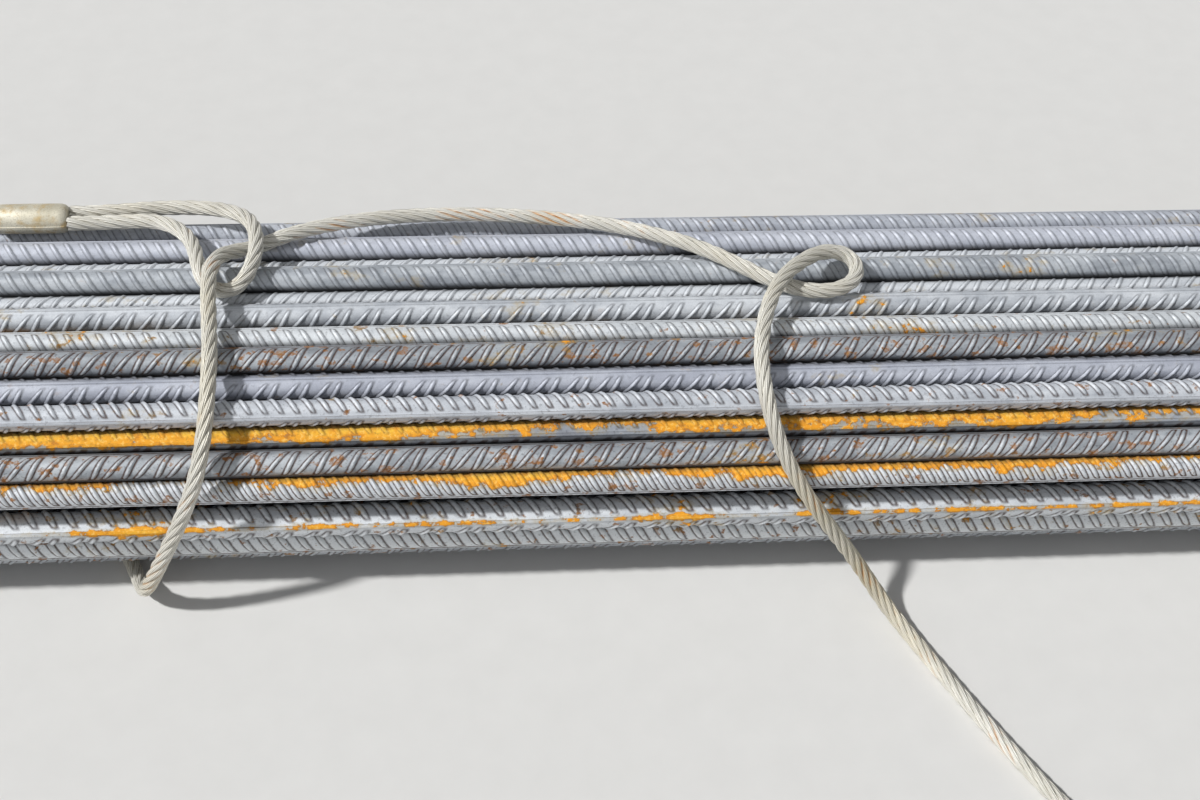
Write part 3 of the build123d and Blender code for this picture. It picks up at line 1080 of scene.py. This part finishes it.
# %% The coats of the bars' skin, one over another
def mill_scale(net, skin):
    """Scale as dark or light as the bar's tone says, with streaks, spots, grain and dark specks."""
    shade = net.plus(net.spread(skin.streaks, -0.16, 0.16), skin.tone)
    shade = net.plus(net.spread(skin.spots, -0.08, 0.08), shade)
    base = net.coat(SCALE_DARK, SCALE_MIDDLE, shade, 0.2, 0.55)
    base = net.coat(base, SCALE_LIGHT, shade, 0.5, 0.9)
    base = net.mix(net.times(skin.lilac, 0.6), base, SCALE_LILAC)
    base = net.coat(base, SCALE_DARK, skin.grain, 0.35, 0.65, 0.0, 0.16)
    specked = net.times(net.range(skin.specks, 0.58, 0.68), net.range(skin.rust, 0.0, 0.8, 0.15, 0.5))
    return net.mix(specked, base, GREY_DIRT_AND_SHADE)


def rib_feet_shade_and_dirt(net, skin):
    """Where painted shade falls and dirt gathers: on the bar beside a rib, and low on the rib's flank."""
    on_core = net.range(skin.relief, 0.0, 0.05, 1.0, 0.0)
    flank = net.times(net.range(skin.relief, 0.01, 0.08), net.range(skin.relief, 0.08, 0.5, 0.9, 0.0))
    foot_shade_and_dirt = net.larger(net.times(foot_mask(net, skin), on_core), flank)
    return net.times(foot_shade_and_dirt, net.range(skin.specks, 0.25, 0.5, 0.5, 1.0))


def groove_shade_dirt_and_rust(net, skin, base, foot_shade_and_dirt):
    """Grey at the ribs' feet, painted shade with some dirt, and the mask of the brown rust that comes through
    it.
    """
    base = net.mix(net.times(foot_shade_and_dirt, net.range(skin.rust, 0.0, 0.6, 0.48, 0.9)), base, GREY_DIRT_AND_SHADE)
    brown = net.times(foot_shade_and_dirt, net.range(net.plus(skin.clouds, net.times(skin.rust, 0.6)), 0.62, 0.95))
    return net.mix(brown, base, GROOVE_BROWN), brown


def worn_and_glinting_heads(net, skin, base):
    """Bright steel where the ribs' heads are rubbed, and in part a painted glint on them."""
    rubbed_and_glinting = net.times(net.range(skin.relief, 0.55, 1.0), net.range(skin.specks, 0.40, 0.55))
    return net.mix(net.times(rubbed_and_glinting, net.times(skin.wear_and_glint, 0.5)), base, WORN_STEEL_AND_GLINT)


def brown_spots(net, skin, base):
    """Scattered brown spots, more of them on a rusty bar, and their mask."""
    spotted = net.range(net.plus(skin.spots, net.times(skin.rust, 0.10)), 0.675, 0.71)
    spotted = net.times(spotted, net.range(skin.rust, 0.05, 0.3))
    broken = net.times(spotted, net.range(skin.specks, 0.35, 0.6, 0.35, 0.95))
    return net.mix(broken, base, RUST_BROWN), spotted


def orange_rust(net, skin, base, foot_shade_and_dirt):
    """Orange rust where clouds of it meet wetness, thicker and yellower further in, and its mask."""
    cloud = net.minus(net.plus(skin.clouds, net.times(skin.spots, 0.55)), 1.10)
    over = net.plus(net.plus(cloud, net.times(skin.specks, 0.16)), net.times(skin.wet, 0.62))
    over = net.plus(over, net.times(foot_shade_and_dirt, net.times(skin.wet, 0.10)))
    base = net.coat(base, STAIN_OCHRE, over, -0.12, 0.02, 0.0, 0.55)
    rusted = net.range(over, 0.0, 0.025)
    rust = net.coat(RUST_BROWN, RUST_ORANGE, over, 0.0, 0.07)
    rust = net.coat(rust, RUST_YELLOW, over, 0.06, 0.26)
    rust = net.coat(rust, RUST_BROWN, skin.specks, 0.54, 0.70, 0.0, 0.5)
    # Browner rust at the ribs' feet: rust, and painted shade there too.
    rust = net.mix(net.times(foot_shade_and_dirt, 0.6), rust, RUST_BROWN)
    rust = net.coat(rust, RUST_ORANGE, skin.spots, 0.50, 0.62, 0.0, 0.7)
    rust = net.coat(rust, RUST_PALE, skin.specks, 0.36, 0.46, 0.6, 0.0)
    return net.mix(rusted, base, rust), rusted


def nook_shade(net, skin, base):
    """Painted shade where bars touch."""
    return net.coat(base, NOOK_SHADE, skin.nook, 0.1, 0.85, 0.0, 0.88)


def cut_ends(net, skin, base):
    """Bare steel on the ends, which the map puts at a spot of their own."""
    rusty = net.range(net.plus(skin.spots, net.times(skin.rust, 0.2)), 0.5, 0.68)
    cut = net.math("LESS_THAN", skin.along, CUT_END[0] / 2)
    return net.mix(cut, base, net.mix(rusty, CUT_GREY, CUT_RUST))


# %% The bars' material
def bar_material():
    net = Network("rolled_steel")
    skin = Skin(net)
    foot_shade_and_dirt = rib_feet_shade_and_dirt(net, skin)
    base, brown = groove_shade_dirt_and_rust(net, skin, mill_scale(net, skin), foot_shade_and_dirt)
    base, spotted = brown_spots(net, skin, worn_and_glinting_heads(net, skin, base))
    base, rusted = orange_rust(net, skin, base, foot_shade_and_dirt)
    base = cut_ends(net, skin, nook_shade(net, skin, base))
    any_rust = net.larger(rusted, net.larger(spotted, brown))
    rough = net.larger(net.spread(skin.streaks, 0.46, 0.60), net.range(any_rust, 0.2, 1.0, 0.0, 0.85))
    pits = net.plus(net.times(skin.specks, 0.5), net.times(skin.grain, 0.35))
    crust = net.times(rusted, net.plus(net.times(skin.spots, 1.2), 0.2))
    return net.finish(
        Base_Color=base, Roughness=rough, Metallic=net.range(any_rust, 0.0, 0.6, 0.14, 0.0),
        Normal=net.bump(net.plus(pits, crust), 0.6, 0.0005),
    )


dress(ribbed, bar_material())

# %% [markdown]
# ## Rope, ties and ferrules
#
# The rope's wires show as fine lines that run nearly along the rope, so the bump on a strand follows the
# strand's own map. The lines between wires and the grooves between strands are darker, painted shade
# with grease, and the grooves hold rust. Tie rod has a dark skin with brown rust. A ferrule
# is dull aluminium with stains and fine dirt.

# %% The rope's material
ROPE_PALE = colour(244, 242, 234)
ROPE_GREY = colour(222, 219, 208)
ROPE_STAIN = colour(206, 192, 154)
ROPE_DIRT_AND_SHADE = colour(134, 125, 108)
ROPE_RUST = colour(214, 150, 62)
WIRE_LAY = 0.020
WIRES_ROUND_A_STRAND = 9


def rope_material():
    net = Network("wire_rope")
    along, around = net.map_parts()
    winding = net.plus(
        net.times(around, 2 * math.pi * WIRES_ROUND_A_STRAND), net.times(along, 2 * math.pi / WIRE_LAY),
    )
    wires = net.range(net.math("SINE", winding), -0.8, 1.0)
    groove = net.attribute("groove")
    wide, patches, fine = net.noise(7, 3), net.noise(26, 5), net.noise(700, 3)
    base = net.coat(ROPE_GREY, ROPE_PALE, patches, 0.35, 0.65)
    stained = net.range(net.plus(wide, net.times(patches, 0.4)), 0.72, 0.90, 0.0, 0.7)
    base = net.mix(stained, base, ROPE_STAIN)
    base = net.coat(base, ROPE_GREY, fine, 0.4, 0.7, 0.0, 0.35)
    # Darker lines between wires and grooves between strands: painted shade with grease.
    base = net.coat(base, ROPE_DIRT_AND_SHADE, wires, 0.0, 0.5, 0.4, 0.0)
    base = net.coat(base, ROPE_DIRT_AND_SHADE, groove, 0.3, 0.85, 0.0, 0.85)
    rusty = net.times(net.range(patches, 0.56, 0.66), net.range(groove, 0.12, 0.5))
    return net.finish(
        Base_Color=net.mix(rusty, base, ROPE_RUST), Roughness=net.spread(fine, 0.42, 0.62), Metallic=0.25,
        Normal=net.bump(net.plus(wires, net.times(fine, 0.3)), 0.9, 0.0004),
    )


dress((sling, choke_eye, lifting_eye), rope_material())

# %% The ties' and the ferrules' materials
ROD_SCALE = colour(96, 94, 98)
ROD_BROWN = colour(126, 84, 56)
ROD_DARK = colour(72, 60, 54)
ROD_ORANGE = colour(196, 116, 40)
ALLOY_DULL = colour(196, 190, 170)
ALLOY_LIGHT = colour(226, 221, 204)
ALLOY_STAIN = colour(196, 168, 112)
ALLOY_DIRT = colour(120, 104, 80)


def tie_material():
    net = Network("wire_rod")
    patches, fine = net.noise(45, 5), net.noise(900, 3)
    base = net.coat(ROD_SCALE, ROD_BROWN, patches, 0.4, 0.62)
    base = net.coat(base, ROD_DARK, fine, 0.45, 0.7, 0.0, 0.5)
    base = net.coat(base, ROD_ORANGE, patches, 0.62, 0.72)
    return net.finish(
        Base_Color=base, Roughness=net.range(patches, 0.4, 0.6, 0.48, 0.82), Metallic=0.2,
        Normal=net.bump(fine, 0.4, 0.0004),
    )


def ferrule_material():
    net = Network("pressed_aluminium")
    patches, fine, stain = net.noise(60, 5), net.noise(1200, 2), net.noise(130, 4)
    base = net.coat(ALLOY_DULL, ALLOY_LIGHT, patches, 0.35, 0.65)
    base = net.coat(base, ALLOY_STAIN, stain, 0.52, 0.68, 0.0, 0.7)
    base = net.coat(base, ALLOY_DIRT, fine, 0.52, 0.75, 0.0, 0.5)
    return net.finish(
        Base_Color=base, Roughness=net.spread(patches, 0.42, 0.62), Metallic=0.35,
        Normal=net.bump(net.plus(fine, stain), 0.35, 0.0003),
    )


dress(ties, tie_material())
dress((choke_ferrule, lifting_ferrule), ferrule_material())

# %% [markdown]
# ## Floor and light
#
# A plain pale floor carries the bundle and its shadow. The bundle is long, so a lamp near its middle
# would leave its ends dark, and the lamps are of the sun's kind, which light all of it alike. The key
# comes from the left and a little from the front, so that each rib has a lit and a shaded flank, the
# steep front isn't dark and the rope's shadow falls to the right. A wide fill from the front and the sky
# keep the shadows open.


# %% Floor, lamps and sky
FLOOR_SIZE = 30
FLOOR_PALE = colour(222, 221, 218)
FLOOR_SHADE = colour(206, 205, 202)
SKY_COLOUR = (0.86, 0.89, 0.95, 1)
SKY_STRENGTH = 0.20
BACKDROP = (0.74, 0.74, 0.73, 1)


def make_floor():
    mesh = bmesh.new()
    bmesh.ops.create_grid(mesh, x_segments=1, y_segments=1, size=FLOOR_SIZE)
    floor = bpy.data.objects.new("floor", kept(mesh, "floor"))
    scene.collection.objects.link(floor)
    net = Network("pale_floor")
    base = net.mix(net.spread(net.noise(40, 4), 0.0, 0.2), FLOOR_PALE, FLOOR_SHADE)
    dress([floor], net.finish(Base_Color=base, Roughness=0.9))


def sun_lamp(name, turned, raised, strength, softness):
    """Even light from far away; turned is the compass angle from +Y towards +X, in degrees."""
    data = bpy.data.lights.new(name, "SUN")
    data.energy = strength
    data.angle = math.radians(softness)
    lamp = bpy.data.objects.new(name, data)
    lamp.rotation_euler = (math.radians(90 - raised), 0, math.radians(180 - turned))
    scene.collection.objects.link(lamp)


def make_sky():
    """A dim bluish sky that lights the bundle; the camera, gloss and glass see a pale backdrop instead."""
    net = Network("sky", bpy.data.worlds, "Background")
    rays = net.add("ShaderNodeLightPath").outputs
    seen = net.larger(rays["Is Camera Ray"], net.larger(rays["Is Glossy Ray"], rays["Is Transmission Ray"]))
    backdrop = net.add("ShaderNodeBackground", Color=BACKDROP)
    chosen = net.add("ShaderNodeMixShader", _0=seen, _1=net.shader.outputs[0], _2=backdrop.outputs[0])
    net.set(net.tree.nodes["World Output"], "Surface", chosen.outputs[0])
    return net.finish(Color=SKY_COLOUR, Strength=SKY_STRENGTH)


make_floor()
sun_lamp("key", turned=-102, raised=49, strength=3.2, softness=4)
sun_lamp("fill", turned=-170, raised=30, strength=0.3, softness=50)
scene.world = make_sky()
scene.view_settings.view_transform = "Standard"
